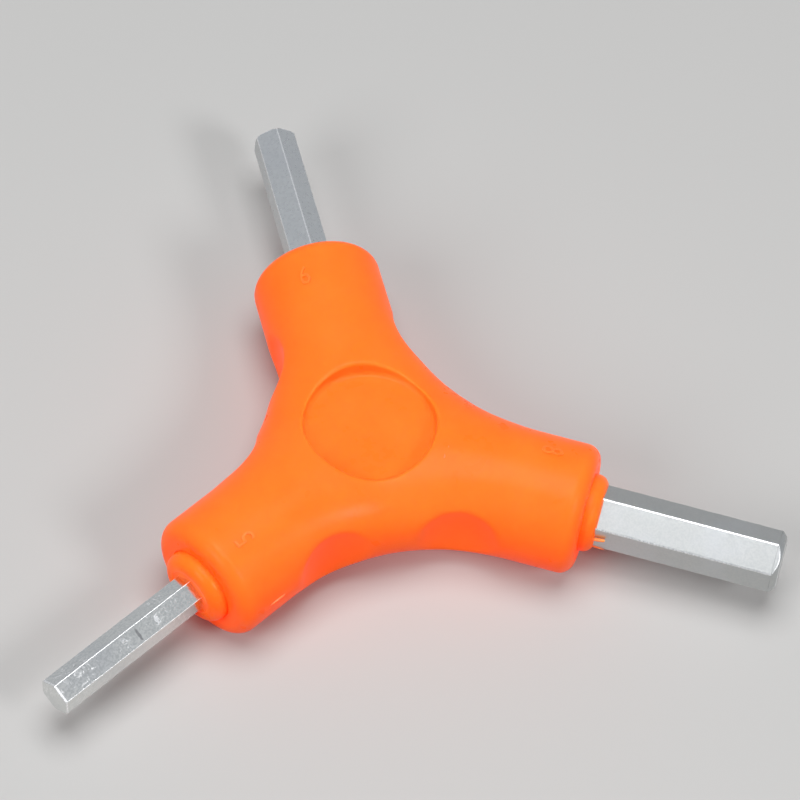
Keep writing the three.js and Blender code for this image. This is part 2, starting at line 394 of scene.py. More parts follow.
def arcPoints(radius, along, size, fromAngle, toAngle, steps):
    angles = np.linspace(math.radians(fromAngle), math.radians(toAngle), steps + 1)
    return [(radius + size * math.cos(angle), along + size * math.sin(angle)) for angle in angles]


def newObject(name, mesh):
    made = bpy.data.objects.new(name, mesh)
    bpy.context.scene.collection.objects.link(made)
    return made


def plainMesh(piece):
    bpy.context.view_layer.update()
    shown = piece.evaluated_get(bpy.context.evaluated_depsgraph_get())
    mesh = bpy.data.meshes.new_from_object(shown)
    piece.modifiers.clear()
    piece.data = mesh
    return mesh


def combine(piece, other, operation):
    modifier = piece.modifiers.new("combine", "BOOLEAN")
    modifier.operation = operation
    modifier.solver = "MANIFOLD"
    modifier.object = other
    plainMesh(piece)
    bpy.data.objects.remove(other)
    return piece


def finishPiece(piece, material, replaced=()):
    mesh = piece.data
    mesh.materials.clear()
    mesh.materials.append(material)
    mesh.polygons.foreach_set("material_index", [0] * len(mesh.polygons))
    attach(piece, "root")
    if replaced:
        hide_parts(*replaced)
    triangles = sum(len(face.vertices) - 2 for face in mesh.polygons)
    print("piece", piece.name, len(mesh.vertices), "vertices,", triangles, "triangles")
    return piece


def armAngle(bit):
    target = mounts[bit["mount"]]
    return math.atan2(target.y, target.x)


def placeInWorld(mesh, angle=0.0):
    toLevel = Matrix.Scale(mm, 4) @ Matrix.Translation((0, 0, levelZ))
    mesh.transform(toLevel @ Matrix.Rotation(angle, 4, "Z"))


# Ends that the Geometry Nodes trees share

def raisedSolid(tree, base, height, weld):
    # A flat outline raised straight up into a closed solid
    raised = addNode(tree, "GeometryNodeExtrudeMesh", {
        "Mesh": base, "Offset": vectorOf(tree, z=height), "Offset Scale": 1.0, "Individual": False})
    under = addNode(tree, "GeometryNodeFlipFaces", {"Mesh": base})
    joined = addNode(tree, "GeometryNodeJoinGeometry")
    for part in (raised, under):
        tree.links.new(part.outputs[0], joined.inputs[0])
    return addNode(tree, "GeometryNodeMergeByDistance", {"Geometry": joined.outputs[0],
                                                         "Distance": weld}).outputs[0]


def moved(tree, geometry, inputs):
    return addNode(tree, "GeometryNodeTransform", {"Geometry": geometry, **inputs}).outputs[0]


def dressedTree(tree, geometry, given, made):
    real = addNode(tree, "GeometryNodeRealizeInstances", {"Geometry": geometry})
    dressed = addNode(tree, "GeometryNodeSetMaterial", {"Geometry": real.outputs[0],
                                                        "Material": given["Material"]})
    tree.links.new(dressed.outputs[0], made["Geometry"])
    return tree


# Steel bits: one Geometry Nodes tree makes a hexagonal bar, turned down at its tip and locking groove

def cutAway(tree, body, tool):
    return addNode(tree, "GeometryNodeMeshBoolean", {"Mesh 1": body, "Mesh 2": tool},
                   operation="DIFFERENCE", solver="MANIFOLD").outputs[0]


def hexBitTree():
    tree, given, made = newGroup("hex bit", "GeometryNodeTree", {
        "Across Flats": 6.0, "Edge Round": 0.3, "Start": 9.0, "Tip": 60.0, "Tip Chamfer": 0.5,
        "Turn": 0.0, "Groove Start": 15.0, "Groove End": 18.0, "Groove Radius": 2.4, "Material": None,
    }, ["Geometry"])
    corner = over(tree, given["Across Flats"], 2 * math.cos(math.pi / 6))
    length = minus(tree, given["Tip"], given["Start"])
    outline = addNode(tree, "GeometryNodeCurvePrimitiveCircle", {"Resolution": 6, "Radius": corner})
    rounded = addNode(tree, "GeometryNodeFilletCurve", {
        "Curve": outline.outputs[0], "Radius": given["Edge Round"], "Count": 7}, mode="POLY")
    base = addNode(tree, "GeometryNodeFillCurve", {"Curve": rounded.outputs[0]}, mode="NGONS")
    bar = raisedSolid(tree, base.outputs[0], length, weld=0.0001)

    # A wide cone whose small end passes the tip cuts the chamfer
    small = minus(tree, corner, given["Tip Chamfer"])
    cone = addNode(tree, "GeometryNodeMeshCone", {
        "Vertices": 120, "Side Segments": 1, "Depth": length, "Radius Top": small,
        "Radius Bottom": plus(tree, small, length)})
    body = addNode(tree, "GeometryNodeMeshBoolean", operation="INTERSECT", solver="MANIFOLD")
    for part in (bar, cone.outputs[0]):
        tree.links.new(part, body.inputs["Mesh 2"])

    # A ring round the shank cuts the groove, and its parts reach this far past what they cut
    past = 1.0
    grooveLength = minus(tree, given["Groove End"], given["Groove Start"])
    wide = addNode(tree, "GeometryNodeMeshCylinder", {
        "Vertices": 48, "Radius": plus(tree, corner, past), "Depth": grooveLength})
    neck = addNode(tree, "GeometryNodeMeshCylinder", {
        "Vertices": 48, "Radius": given["Groove Radius"], "Depth": plus(tree, grooveLength, 2 * past)})
    ring = cutAway(tree, wide.outputs[0], neck.outputs[0])
    middle = times(tree, plus(tree, given["Groove Start"], given["Groove End"]), 0.5)
    ringPlace = vectorOf(tree, z=minus(tree, middle, given["Start"]))
    grooved = cutAway(tree, body.outputs[0], moved(tree, ring, {"Translation": ringPlace}))

    # Laid along +X with a corner up, then turned a little about its own axis
    laid = moved(tree, grooved, {"Rotation": (0, math.pi / 2, 0)})
    turned = moved(tree, laid, {"Rotation": vectorOf(tree, x=given["Turn"]),
                                "Translation": vectorOf(tree, x=given["Start"])})
    return dressedTree(tree, turned, given, made)


def setInputs(modifier, tree, values):
    sockets = {item.name: item.identifier for item in tree.interface.items_tree if item.in_out == "INPUT"}
    for key, value in values.items():
        modifier[sockets[key]] = value


hexBit = hexBitTree()


def bitObject(name, values, material, margin=0.0):
    piece = newObject(name, bpy.data.meshes.new(name))
    modifier = piece.modifiers.new("hex bit", "NODES")
    modifier.node_group = hexBit
    flats, grooveStart = values["acrossFlats"], shankStart + values["grooveStart"]
    setInputs(modifier, hexBit, {
        "Across Flats": flats + 2 * margin, "Edge Round": values["edgeRound"] + margin,
        "Start": shankStart - margin, "Tip": mounts[values["mount"]].xy.length + 20 * margin,
        "Tip Chamfer": values["tipChamfer"], "Turn": math.radians(values["turn"]),
        "Groove Start": grooveStart + margin, "Groove End": grooveStart + values["grooveLength"] - margin,
        "Groove Radius": flats / 2 - values["grooveDepth"] + margin, "Material": material,
    })
    return piece


def joinFlats(mesh):
    # The cuts leave flat faces in pieces, which the bevel would follow
    made = bmesh.new()
    made.from_mesh(mesh)
    bmesh.ops.remove_doubles(made, verts=made.verts, dist=1e-4)
    bmesh.ops.dissolve_limit(made, angle_limit=math.radians(0.4), verts=made.verts, edges=made.edges)
    made.to_mesh(mesh)
    made.free()


def makeBit(name, values):
    material = satinSteel(name.replace("_", " ") + " steel", values, armAngle(values))
    piece = bitObject(name + "_bar", values, material)
    joinFlats(plainMesh(piece))
    bevel = piece.modifiers.new("broken edges", "BEVEL")
    bevel.width = values["brokenEdge"]
    bevel.segments = 3
    bevel.limit_method = "ANGLE"
    bevel.angle_limit = math.radians(22)
    bevel.use_clamp_overlap = True
    weighted = piece.modifiers.new("even shading", "WEIGHTED_NORMAL")
    weighted.keep_sharp = False
    mesh = plainMesh(piece)
    placeInWorld(mesh, armAngle(values))
    return finishPiece(piece, material, [name])


steelLook = {
    "grooveStart": 6.0, "grooveLength": 3.0, "grooveDepth": 0.6,
    "deepColour": (0.56, 0.57, 0.585, 1), "lightColour": (0.64, 0.65, 0.655, 1),
    "cloudColour": (0.58, 0.60, 0.63, 1), "brightColour": (0.88, 0.885, 0.89, 1),
    "pitColour": (0.22, 0.22, 0.23, 1), "cloudScale": 160.0, "cloudTint": 0.35,
    "roughness": 0.3, "roughSpread": 0.03, "bump": 0.35, "bumpDepth": 0.00002,
    "edgeShine": 0.06, "edgeRag": 0.06, "edgeWidth": 0.16, "endWidth": 0.1, "lineScale": 3600.0,
    "lineStretch": 0.05, "lineDepth": 0.3, "mottleScale": 2300.0, "mottleDepth": 0.4,
    "fleckScale": 1500.0, "fleckSize": 0.16, "fleckShare": 0.02, "fleckTint": 0.6,
    "pitScale": 2100.0, "pitShare": 0.001, "pitTint": 0.3, "pitDepth": 0.5,
    "flakeScale": 1100.0, "flakeShare": 0.1, "flakeTint": 0.0, "flakeRough": 0.0, "patchScale": 210.0,
    "flakePlace": (50.0, 0.5, 4.2), "flakeReach": (0.15, 0.4, 1.5),
    "scratchAngle": 1.2, "scratchScale": 260.0, "scratchWidth": 0.012, "scratchShare": 0.2,
    "scratchTint": 0.2,
    "markPlace": (50.0, 0.5, 4.2), "markReach": (0.15, 0.4, 1.5), "markTint": 0.0,
}
sixBit = {
    **steelLook, "mount": "tip_6mm", "acrossFlats": 6.0, "edgeRound": 0.28, "tipChamfer": 0.35,
    "turn": 4.5, "brokenEdge": 0.09, "edgeWidth": 0.08, "mottleDepth": 0.02, "lineDepth": 0.1,
    "deepColour": (0.61, 0.63, 0.64, 1), "lightColour": (0.63, 0.65, 0.66, 1),
    "markPlace": (42.7, -1.3, 2.75), "markReach": (0.28, 0.6, 2.0), "markTint": 0.3,
}
fiveBit = {
    **steelLook, "mount": "tip_5mm", "acrossFlats": 5.0, "edgeRound": 0.13, "tipChamfer": 0.15,
    "turn": 1.0, "brokenEdge": 0.1, "edgeWidth": 0.1, "edgeShine": -0.14, "endWidth": 0.4,
    "roughness": 0.15, "mottleScale": 3000.0, "mottleDepth": 0.05,
    "deepColour": (0.68, 0.695, 0.685, 1), "lightColour": (0.77, 0.78, 0.765, 1),
    "brightColour": (0.97, 0.975, 0.98, 1),
    "fleckShare": 0.03, "pitShare": 0.003, "flakeShare": 0.55, "flakeTint": 0.9, "flakeRough": 0.1,
    "flakePlace": (48.8, 1.3, 2.0), "flakeReach": (2.1, 1.2, 2.0),
    "scratchShare": 0.4, "scratchTint": 0.25,
    "markPlace": (46.25, 1.35, 2.1), "markReach": (0.32, 1.35, 2.0), "markTint": 0.62,
}
eightBit = {
    **steelLook, "mount": "tip_8mm", "acrossFlats": 8.0, "edgeRound": 0.42, "tipChamfer": 0.95,
    "turn": 1.0, "brokenEdge": 0.12, "edgeWidth": 0.06, "roughness": 0.33,
    "mottleScale": 3600.0, "mottleDepth": 0.02, "lineDepth": 0.1,
    "deepColour": (0.49, 0.505, 0.505, 1), "lightColour": (0.53, 0.54, 0.535, 1),
}


bits = (sixBit, fiveBit, eightBit)
for bitName, values in zip(("hex_bit_6mm", "hex_bit_5mm", "hex_bit_8mm"), bits):
    makeBit(bitName, values)
print("bits: made")


# Core: three round arms on a flat hub, with a rounded collar outside each end of the grip

coreShape = {
    "hubRadius": 8.0, "hubHeight": 9.0, "hubSides": 96, "collarRound": 1.6, "hollowRadius": 3.6,
    "hollowDepth": 0.12, "hollowRound": 0.06, "bitGap": 0.02, "wallRing": 1.0, "sides": 120,
    "roundSteps": 10, "sharpAngle": 38,
}
faceLevel = collarEnd - coreShape["hollowDepth"]


def coreArmMesh():
    shape = coreShape
    steps, edge, inner = shape["roundSteps"], shape["collarRound"], shape["hollowRound"]
    profile = [(0, 0), (coreRadius, 0), (coreRadius, armEnd - shape["wallRing"])]
    profile += arcPoints(coreRadius - edge, collarEnd - edge, edge, 0, 90, steps)
    profile += arcPoints(shape["hollowRadius"] + inner, collarEnd - inner, inner, 90, 180, steps // 2)[1:]
    profile += arcPoints(shape["hollowRadius"] - inner, faceLevel + inner, inner, 0, -90, steps // 2)
    profile += [(0, faceLevel)]
    return turnedMesh("core arm", profile, shape["sides"])


def hubDisc(name, radius, half):
    profile = [(0, -half), (radius, -half), (radius, half), (0, half)]
    disc = newObject(name, turnedMesh(name, profile, coreShape["hubSides"]))
    disc.data.transform(Matrix.Rotation(-math.pi / 2, 4, "Y"))
    return disc


def onArm(piece, bit):
    piece.data.transform(Matrix.Rotation(armAngle(bit), 4, "Z"))
    return piece


def smoothShaded(mesh, sharpAngle):
    mesh.set_sharp_from_angle(angle=math.radians(sharpAngle))
    mesh.polygons.foreach_set("use_smooth", [True] * len(mesh.polygons))
    placeInWorld(mesh)


def makeCore(material):
    shape = coreShape
    core = hubDisc("handle_core_body", shape["hubRadius"], shape["hubHeight"] / 2)
    for bit in bits:
        combine(core, onArm(newObject("arm", coreArmMesh()), bit), "UNION")
    for bit in bits:
        space = bitObject("space", bit, None, margin=shape["bitGap"])
        plainMesh(space)
        combine(core, onArm(space, bit), "DIFFERENCE")
    smoothShaded(core.data, shape["sharpAngle"])
    return finishPiece(core, material, ["handle_core"])


plasticLook = {
    "deepColour": (1.0, 0.225, 0.022, 1), "lightColour": (1.0, 0.25, 0.03, 1),
    "dustColour": (1.0, 0.45, 0.25, 1), "dustTint": 0.5, "dustScale": 160.0, "dustSize": 0.03,
    "dustShare": 0.05, "scuffColour": (1.0, 0.28, 0.1, 1), "scuffTint": 0.12, "scuffScale": 120.0,
    "scuffShare": 0.2, "scuffAngle": 0.7, "scuffWidth": 0.012, "scuffDepth": 0.08, "scuffRough": 0.12,
    "roughness": 0.31, "roughSpread": 0.05, "shine": 0.1,
    "grain": 2600.0, "grainDepth": 0.12, "flow": 90.0, "bump": 0.5, "bumpDepth": 0.0001,
    "glow": 0.75, "glowRadius": (0.0045, 0.0016, 0.0005),
    # The red emission is a painted glow that keeps the shaded sides bright red
    "paintedGlow": 0.46, "paintedGlowColour": (1.0, 0.011, 0.0, 1),
}
coreLook = {**plasticLook, "deepColour": (1.0, 0.23, 0.02, 1), "lightColour": (1.0, 0.27, 0.03, 1)}

makeCore(orangePlastic("core plastic", coreLook))
print("core: made")


# Grip: each flank of an arm is lofted over ribs between the crest line on top and the level outline

gripShape = {
    "valleyRadius": 31.3, "straightLength": 7.4, "endRound": 2.2, "endRing": 0.6,
    "armFullness": 2.0, "hubFullness": 2.4, "partingRidge": 0.02, "partingWidth": 0.09,
    "recessDepth": 2.2, "recessRadius": 9.66, "lipRound": 0.72, "wallDraft": 0.05, "floorRound": 0.75,
    "scallopInset": 5.55, "scallopDepth": 1.66, "scallopRadius": 8.55, "scallopHalfHeight": 22.0,
    "scallopSoftness": 0.5, "boreGap": 0.03, "boreLip": 0.14, "boreRing": 3, "sharpAngle": 50,
    "ribSteps": 92, "endSteps": 10, "straightSteps": 12, "valleySteps": 46, "lipSteps": 26,
    "ringSteps": 8, "floorRings": (0.85, 0.6, 0.35, 0.15, 0.0),
}
hubHalfHeight = recessFloor + gripShape["recessDepth"]
valleyCentre = (armRadius + gripShape["valleyRadius"]) / math.sin(halfSpacing)
straightStart = valleyCentre * math.cos(halfSpacing)


def valleyRib(share):
    radius = gripShape["valleyRadius"]
    bend = math.pi / 2 - halfSpacing
    angle = -math.pi / 2 - bend * share
    sideX = straightStart + radius * np.cos(angle)
    sideY = valleyCentre * math.sin(halfSpacing) + radius * np.sin(angle)
    crest = (1 - share) ** 2 * (straightStart * (1 + 2 * share) - radius * bend * share)
    rise = share * share * (3 - 2 * share)
    height = armRadius + (hubHalfHeight - armRadius) * rise
    fullness = gripShape["armFullness"] + (gripShape["hubFullness"] - gripShape["armFullness"]) * rise
    return crest, sideX, sideY, height, fullness


def onRib(rib, outward):
    crest, sideX, sideY, height, fullness = rib
    up = (1 - outward ** fullness) ** (1 / fullness)
    return crest + (sideX - crest) * outward, sideY * outward, height * up


def outwardAt(rib, radius):
    # How far out along the rib it crosses a circle round the hub's axis
    crest, sideX, sideY = rib[:3]
    square = (sideX - crest) ** 2 + sideY ** 2
    cross = crest * (sideX - crest)
    inside = np.maximum(cross ** 2 - square * (crest ** 2 - radius ** 2), 0)
    return (np.sqrt(inside) - cross) / square


def ribThrough(radius, bearing):
    # The valley rib that crosses the circle at that bearing from the arm, found by halving
    low, high = np.zeros_like(bearing), np.ones_like(bearing)
    for _ in range(50):
        share = (low + high) / 2
        rib = valleyRib(share)
        outward = outwardAt(rib, radius)
        x, y, _ = onRib(rib, np.clip(outward, 0, 1))
        short = (rib[0] > radius) | (np.arctan2(y, x) < bearing)
        low, high = np.where(short, share, low), np.where(short, high, share)
    return high


def dished(points):
    # Pushes the points of the flank out of an upright egg, with a soft edge
    shape = gripShape
    radius, soft = shape["scallopRadius"], shape["scallopSoftness"]
    inset = shape["scallopInset"]
    outlineY = valleyCentre * math.sin(halfSpacing) - math.sqrt(shape["valleyRadius"] ** 2 - inset ** 2)
    centre = np.array([straightStart - inset, outlineY + radius - shape["scallopDepth"], 0])
    squeeze = np.array([1, 1, radius / shape["scallopHalfHeight"]])
    offset = (points - centre) * squeeze
    distance = np.linalg.norm(offset, axis=-1, keepdims=True)
    near = np.maximum(0, 1 - np.abs(distance - radius) / soft)
    pushed = np.maximum(distance, radius) + near * near * soft / 4
    return centre + offset * pushed / distance / squeeze


def ribRows():
    # Ribs from the arm end to the valley between two arms, first the half circles of the arm
    shape = gripShape
    edge, steps = shape["endRound"], shape["straightSteps"]
    flat = armRadius - edge
    circles = [(1e-6, armEnd), (flat - shape["endRing"], armEnd)]
    circles += arcPoints(flat, armEnd - edge, edge, 90, 0, shape["endSteps"])
    circles += [(armRadius, straightStart + shape["straightLength"] * (1 - step / steps))
                for step in range(1, steps)]
    rows = [(along, along, radius, radius, shape["armFullness"]) for radius, along in circles]
    lipRadius = shape["recessRadius"] + shape["lipRound"]
    first = float(ribThrough(lipRadius, np.array([0.0]))[0])
    rows += [valleyRib(share) for share in np.linspace(0, first, shape["valleySteps"])]
    bearings = np.linspace(0, halfSpacing, shape["lipSteps"] + 1)[1:]
    rows += [valleyRib(share) for share in ribThrough(lipRadius, bearings[:-1])] + [valleyRib(1.0)]
    return rows, len(bearings) + 1


def gripFlank():
    # Points of one flank, top to bottom along each rib, and of a sixth of the recess's lip
    shape = gripShape
    rows, lipCount = ribRows()
    steps = np.linspace(0, 1, shape["ribSteps"] + 1)
    # A few more points close to the level line draw its fine ridge
    ridge = np.array([-3, -1.5, -0.8, 0.8, 1.5, 3]) * shape["partingWidth"] / (math.pi * armRadius) + 0.5
    steps = np.sort(np.concatenate([steps, ridge]))
    lipRadius = shape["recessRadius"] + shape["lipRound"]
    grid = np.zeros((len(rows), len(steps), 3))
    for index, rib in enumerate(rows):
        rib = tuple(float(value) for value in rib)
        start = 0.0
        if index > len(rows) - lipCount:
            outward = min(float(outwardAt(rib, lipRadius)), 1)
            start = math.atan2(outward, (1 - outward ** rib[4]) ** (1 / rib[4]))
        angles = start + (math.pi - 2 * start) * steps
        power = rib[4]
        scale = (np.abs(np.sin(angles)) ** power + np.abs(np.cos(angles)) ** power) ** (-1 / power)
        outward = scale * np.sin(angles)
        if start == 0:
            outward[0] = outward[-1] = 0
        grid[index] = np.stack([rib[0] + (rib[1] - rib[0]) * outward, rib[2] * outward,
                                rib[3] * scale * np.cos(angles)], -1)
        outOfLevel = grid[index][:, 2] / shape["partingWidth"]
        bead = shape["partingRidge"] * np.exp(-outOfLevel ** 2)
        swell = bead * min(rib[2] / armRadius, 1) * (outward > 0.5)
        reach = math.hypot(rib[1] - rib[0], rib[2])
        grid[index][:, 0] += swell * (rib[1] - rib[0]) / reach
        grid[index][:, 1] += swell * rib[2] / reach
    grid[:-1] = np.where(grid[:-1, :, 1:2] > 1e-9, dished(grid[:-1]), grid[:-1])
    return grid, grid[len(rows) - lipCount:, 0]


def recessRings(lip):
    # Rings from the lip down the wall to the middle of the floor, over a sixth of the circle
    shape = gripShape
    wallRadius, lipRound, foot = shape["recessRadius"], shape["lipRound"], shape["floorRound"]
    radius = np.hypot(lip[:, 0], lip[:, 1])
    bearing = np.arctan2(lip[:, 1], lip[:, 0])
    step = 0.05
    outer = ribThrough(radius[0] + step, bearing)
    outer[-1] = 1.0
    rib = valleyRib(outer)
    slope = (onRib(rib, np.clip(outwardAt(rib, radius[0] + step), 0, 1))[2] - lip[:, 2]) / step
    corner = lip[:, 2] - slope * lipRound
    # Where the hub slopes down between the arms the wall is low, so both rounds are flatter there
    roomForRound = (corner - recessFloor) * 0.45
    wallTop = corner - np.minimum(lipRound * 0.9, roomForRound)
    footRise = np.minimum(foot, roomForRound)
    rings = []
    for share in np.linspace(0, 1, shape["ringSteps"] + 1):
        ends = (1 - share) ** 2, 2 * share * (1 - share), share ** 2
        rings.append((ends[0] * radius + (ends[1] + ends[2]) * wallRadius,
                      ends[0] * lip[:, 2] + ends[1] * corner + ends[2] * wallTop))
    footRadius = wallRadius - shape["wallDraft"]
    rings.append(((wallRadius + footRadius) / 2, (wallTop + recessFloor + footRise) / 2))
    for ringRadius, height in arcPoints(footRadius - foot, 1, foot, 0, -90, 8):
        rings.append((ringRadius, recessFloor + footRise * (1 - (1 - height) / foot)))
    rings += [((footRadius - foot) * share, recessFloor) for share in shape["floorRings"]]
    level = np.zeros_like(bearing)
    return np.array([np.stack([reach * np.cos(bearing), reach * np.sin(bearing), height + level], -1)
                     for reach, height in rings])


def gripSkin():
    flank, lip = gripFlank()
    top = recessRings(lip)
    bottom = top * (1, 1, -1)
    points, faces = [], []
    for grid in (flank, top, bottom):
        rows, columns = grid.shape[:2]
        index = np.arange(rows * columns).reshape(rows, columns)
        corners = np.stack([index[:-1, :-1], index[1:, :-1], index[1:, 1:], index[:-1, 1:]],
                           -1).reshape(-1, 4)
        for bit in bits:
            for mirror in (1, -1):
                turn = np.array(Matrix.Rotation(armAngle(bit), 3, "Z")) * (1, mirror, 1)
                faces += (corners + sum(len(block) for block in points)).tolist()
                points.append(grid.reshape(-1, 3) @ turn.T)
    return meshOf("grip skin", np.concatenate(points), faces, weld=2e-4)


def makeGrip(material):
    shape = gripShape
    gap, lip = shape["boreGap"], shape["boreLip"]
    grip = newObject("grip_shell_body", gripSkin())
    tool = hubDisc("core space", coreShape["hubRadius"] + gap, coreShape["hubHeight"] / 2 + gap)
    radius = coreRadius + gap
    past = armEnd + 1
    profile = [(0, 0), (radius, 0), (radius, armEnd - shape["boreRing"])]
    profile += [(radius + lip - lip * math.cos(angle), armEnd - lip + lip * math.sin(angle))
                for angle in np.linspace(0, math.radians(80), 7)]
    profile += [(radius + lip, past), (0, past)]
    for bit in bits:
        bore = newObject("bore", turnedMesh("bore", profile, coreShape["sides"]))
        combine(tool, onArm(bore, bit), "UNION")
    combine(grip, tool, "DIFFERENCE")
    smoothShaded(grip.data, shape["sharpAngle"])
    return finishPiece(grip, material, ["grip_shell"])


makeGrip(orangePlastic("grip plastic", plasticLook))
print("grip: made")


# Raised size figures: a figure in relief, wrapped round the top of an arm and sunk a little into it

def raisedFigureTree():
    tree, given, made = newGroup("raised figure", "GeometryNodeTree", {
        "Figure": "6", "Size": 4.5, "Slimness": 0.8, "Relief": 0.1, "Sink": 0.1, "Along": 27.0,
        "Across": 3.0, "Arm Radius": 9.6, "Material": None}, ["Geometry"])
    drawn = addNode(tree, "GeometryNodeStringToCurves", {
        "String": given["Figure"], "Size": given["Size"]}, align_x="CENTER", align_y="MIDDLE")
    loose = addNode(tree, "GeometryNodeRealizeInstances", {"Geometry": drawn.outputs[0]})
    slim = moved(tree, loose.outputs[0], {"Scale": vectorOf(tree, given["Slimness"], 1.0, 1.0)})
    filled = addNode(tree, "GeometryNodeFillCurve", {"Curve": slim}, mode="TRIANGLES")
    fine = addNode(tree, "GeometryNodeSubdivideMesh", {"Mesh": filled.outputs[0], "Level": 2})
    closed = raisedSolid(tree, fine.outputs[0], plus(tree, given["Relief"], given["Sink"]), weld=0.0005)
    flat = sidesOf(tree, addNode(tree, "GeometryNodeInputPosition").outputs[0])
    turn = over(tree, minus(tree, given["Across"], flat["X"]), given["Arm Radius"])
    radius = minus(tree, plus(tree, given["Arm Radius"], flat["Z"]), given["Sink"])
    bent = vectorOf(tree, plus(tree, given["Along"], flat["Y"]),
                    times(tree, radius, addMath(tree, "SINE", turn)),
                    times(tree, radius, addMath(tree, "COSINE", turn)))
    wrapped = addNode(tree, "GeometryNodeSetPosition", {"Geometry": closed, "Position": bent})
    return dressedTree(tree, wrapped.outputs[0], given, made)


# Mould flash: a thin bead of plastic along a curve, thinning out towards its ends

def mouldFlashTree():
    tree, given, made = newGroup("mould flash", "GeometryNodeTree", {
        "Start": (0, 0, 0), "Middle": (0, 0, 0), "End": (0, 0, 0), "Radius": 0.1,
        "Start Bluntness": 3.0, "End Bluntness": 3.0, "Material": None}, ["Geometry"])
    path = addNode(tree, "GeometryNodeCurveQuadraticBezier", {
        "Resolution": 28, "Start": given["Start"], "Middle": given["Middle"], "End": given["End"]})
    share = addNode(tree, "GeometryNodeSplineParameter").outputs["Factor"]
    left = minus(tree, 1.0, share)
    fromStart = minus(tree, 1.0, addMath(tree, "POWER", left, given["Start Bluntness"]))
    fromEnd = minus(tree, 1.0, addMath(tree, "POWER", share, given["End Bluntness"]))
    full = addMath(tree, "SQRT", addMath(tree, "MULTIPLY", fromStart, fromEnd, clamp=True))
    thinnest = 0.002
    thick = addMath(tree, "MAXIMUM", times(tree, full, given["Radius"]), thinnest)
    profile = addNode(tree, "GeometryNodeCurvePrimitiveCircle", {"Resolution": 12, "Radius": 1.0})
    bead = addNode(tree, "GeometryNodeCurveToMesh", {
        "Curve": path.outputs[0], "Profile Curve": profile.outputs[0], "Scale": thick, "Fill Caps": True})
    return dressedTree(tree, bead.outputs[0], given, made)


raisedFigure = raisedFigureTree()
mouldFlash = mouldFlashTree()

figureLook = {"Size": 4.5, "Slimness": 0.76, "Relief": 0.16, "Sink": 0.12, "Arm Radius": armRadius}
figures = {
    "size_figure_6": (sixBit, {**figureLook, "Figure": "6", "Along": 26.85, "Across": 3.3}),
    "size_figure_5": (fiveBit, {**figureLook, "Figure": "5", "Along": 27.34, "Across": 2.87}),
    "size_figure_8": (eightBit, {**figureLook, "Figure": "8", "Along": 26.44, "Across": 2.56}),
}


def smallPart(name, tree, values, bit, material, smooth):
    piece = newObject(name, bpy.data.meshes.new(name))
    modifier = piece.modifiers.new("shape", "NODES")
    modifier.node_group = tree
    setInputs(modifier, tree, {**values, "Material": material})
    mesh = plainMesh(piece)
    mesh.polygons.foreach_set("use_smooth", [smooth] * len(mesh.polygons))
    placeInWorld(mesh, armAngle(bit))
    return finishPiece(piece, material)


# The figures' plastic is made lighter than the grip's as a painted highlight for the light their thin
# raised strokes catch
figurePlastic = orangePlastic("figure plastic", {
    **plasticLook, "deepColour": (1.0, 0.25, 0.03, 1), "lightColour": (1.0, 0.28, 0.04, 1), "shine": 0.3})
for figureName, (bit, values) in figures.items():
    smallPart(figureName, raisedFigure, values, bit, figurePlastic, False)
print("figures: made")

flashLook = {**plasticLook, "deepColour": (1.0, 0.3, 0.07, 1), "lightColour": (1.0, 0.36, 0.11, 1),
             "shine": 0.4}
flashPlastic = orangePlastic("flash plastic", flashLook)

# After the bit and the slot come the inputs of the bead. Its places are along the arm, across it (left is
# plus) and up, from the middle of the arms' level.
flashInputs = ("Start", "Middle", "End", "Radius", "Start Bluntness", "End Bluntness")
cutOff, blunt, tapered = 40.0, 12.0, 2.0
flashes = {
    "flash_whisker_8_thick": (eightBit, "core_plastic", (35.0, -4.3, 0.0), (36.1, -4.32, 0.12),
                              (36.98, -4.3, 0.36), 0.24, cutOff, blunt),
    "flash_whisker_8_thin": (eightBit, "core_plastic", (34.9, -4.0, -2.3), (36.0, -4.02, -2.28),
                             (37.05, -4.1, -2.36), 0.09, cutOff, 4.0),
    "flash_root_8": (eightBit, "core_plastic", (faceLevel + 0.14, -0.1, 4.58),
                     (faceLevel + 0.1, -2.0, 3.5), (faceLevel + 0.14, -4.02, 2.26), 0.1, blunt, blunt),
    "flash_seam_5": (fiveBit, "grip_plastic", (25.6, armRadius - 0.02, 0.55), (27.1, armRadius, 0.7),
                     (28.6, armRadius - 0.04, 0.5), 0.22, 3.0, 3.0),
    "gate_pip": (sixBit, "grip_plastic", (9.05, -2.41, recessFloor - 0.1), (9.05, -2.41, recessFloor),
                 (9.05, -2.41, recessFloor + 0.1), 0.14, blunt, blunt),
    "flash_nib_near": (eightBit, "grip_plastic", (11.9, -2.6, 9.14), (12.05, -2.95, 9.1),
                       (11.95, -3.3, 9.0), 0.16, tapered, tapered),
    "flash_nib_far": (eightBit, "grip_plastic", (12.0, -1.1, 9.34), (12.1, -1.3, 9.34),
                      (12.15, -1.5, 9.33), 0.12, tapered, tapered),
    "flash_face_5_top": (fiveBit, "core_plastic", (faceLevel, -1.0, 3.35), (faceLevel + 0.03, -0.2, 3.6),
                         (faceLevel, 0.6, 3.45), 0.1, tapered, tapered),
    "flash_face_5_near": (fiveBit, "core_plastic", (faceLevel, 2.45, 1.3), (faceLevel + 0.04, 3.5, 1.15),
                          (faceLevel, 3.95, 0.3), 0.09, tapered, tapered),
    "flash_face_5_far": (fiveBit, "core_plastic", (faceLevel, -4.35, -0.5), (faceLevel + 0.02, -4.1, 0.2),
                         (faceLevel, -3.3, 0.6), 0.08, tapered, tapered),
    "flash_spot_5": (fiveBit, "core_plastic", (faceLevel, -2.5, 3.5), (faceLevel + 0.03, -2.4, 3.55),
                     (faceLevel, -2.3, 3.6), 0.13, tapered, tapered),
}
